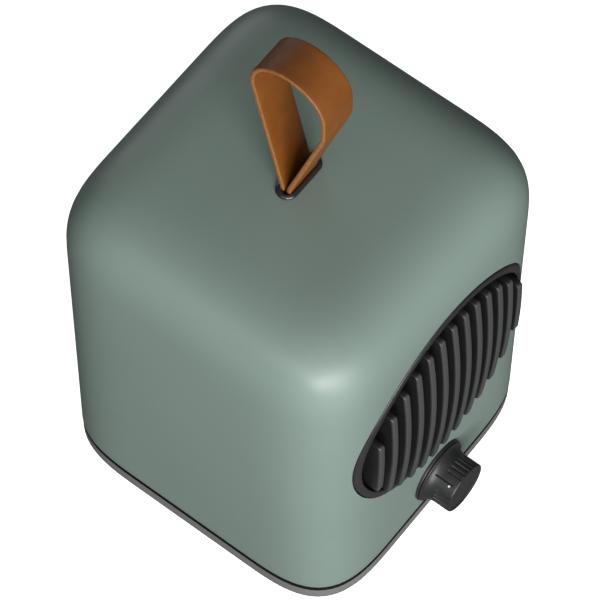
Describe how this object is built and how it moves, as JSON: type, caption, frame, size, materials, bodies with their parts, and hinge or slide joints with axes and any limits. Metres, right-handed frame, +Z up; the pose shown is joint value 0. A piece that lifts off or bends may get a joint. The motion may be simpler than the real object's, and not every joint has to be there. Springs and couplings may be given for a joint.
{
  "type": "box fan heater",
  "caption": "Compact soft-cornered box fan heater with a round domed louvre, ribbed rotary knob, leather carrying loop and dark base plate.",
  "frame": {"origin": "on the surface it stands on, under the middle of its bounding box", "axes": "+Z up, the outlet and knob face -Y, +X to the right seen from the front"},
  "size_m": [0.15, 0.1668, 0.2905],
  "materials": {
    "shell": "satin sage-green moulded plastic with a fine grain",
    "base": "matt mid-grey plastic",
    "black_plastic": "satin black glass-filled plastic",
    "white_plastic": "matt off-white plastic",
    "grey_plastic": "matt grey plastic",
    "leather": "smooth tan leather with raw cut edges",
    "ferrule": "glossy black",
    "rubber": "matt black rubber",
    "steel": "zinc-plated steel",
    "aluminium": "bare aluminium fins",
    "brass": "bare brass",
    "copper": "enamelled copper windings on steel laminations",
    "magnet": "dark sintered ferrite",
    "wire_brown": "brown wire insulation",
    "wire_blue": "blue wire insulation"
  },
  "bodies": {
    "housing": {"outer_shell": "shell", "base_plate": "base", "front_bezel": "black_plastic", "front_louvre": "black_plastic", "rear_grille": "black_plastic", "knob_collar": "black_plastic", "rotary_switch": "white_plastic", "switch_nut": "steel", "strap_tails": "leather", "strap_ferrule": "ferrule", "strap_anchor": "grey_plastic", "strap_pin_left": "steel", "strap_pin_right": "steel", "anchor_screw_left": "steel", "anchor_screw_right": "steel", "fan_duct": "grey_plastic", "motor_can": "steel", "motor_end_cap": "white_plastic", "motor_magnet_left": "magnet", "motor_magnet_right": "magnet", "bearing_front": "brass", "bearing_rear": "brass", "heater_frame": "white_plastic", "ptc_heater": "aluminium", "heater_tab_left": "brass", "heater_tab_right": "brass", "thermal_cutout": "steel", "thermal_fuse": "white_plastic", "inlet_socket": "black_plastic", "inlet_pin_live": "brass", "inlet_pin_earth": "brass", "inlet_pin_neutral": "brass", "terminal_block": "white_plastic", "tip_switch": "grey_plastic", "foot_front_left": "rubber", "foot_front_right": "rubber", "foot_rear_left": "rubber", "foot_rear_right": "rubber", "base_screw_front_left": "steel", "base_screw_front_right": "steel", "base_screw_rear_left": "steel", "base_screw_rear_right": "steel", "duct_screw_left": "steel", "duct_screw_right": "steel", "wire_inlet_live": "wire_brown", "wire_inlet_neutral": "wire_blue", "wire_to_switch": "wire_brown", "wire_to_heater": "wire_brown", "wire_from_heater": "wire_blue", "wire_to_motor": "wire_brown", "wire_from_motor": "wire_blue"},
    "knob": {"control_knob": "black_plastic", "knob_pointer": "white_plastic", "knob_spindle": "steel"},
    "fan_rotor": {"fan_impeller": "grey_plastic", "impeller_nut": "brass", "motor_shaft": "steel", "motor_rotor": "copper", "commutator": "copper"},
    "strap": {"strap_loop": "leather"}
  },
  "joints": [
    {"name": "knob_turn", "type": "hinge", "parent": "housing", "child": "knob", "pos_m": [0, -0.07835, 0.0339], "axis": [0, 1, 0], "range_deg": [0, 180]},
    {"name": "fan_spin", "type": "hinge", "parent": "housing", "child": "fan_rotor", "pos_m": [0, -0.01115, 0.115], "axis": [0, -1, 0], "continuous": true},
    {"name": "strap_lean", "type": "hinge", "parent": "housing", "child": "strap", "pos_m": [0, 0.00685, 0.2088], "axis": [1, 0, 0], "range_deg": [-75, 75], "stiffness_Nm_per_rad": 0.05}
  ]
}
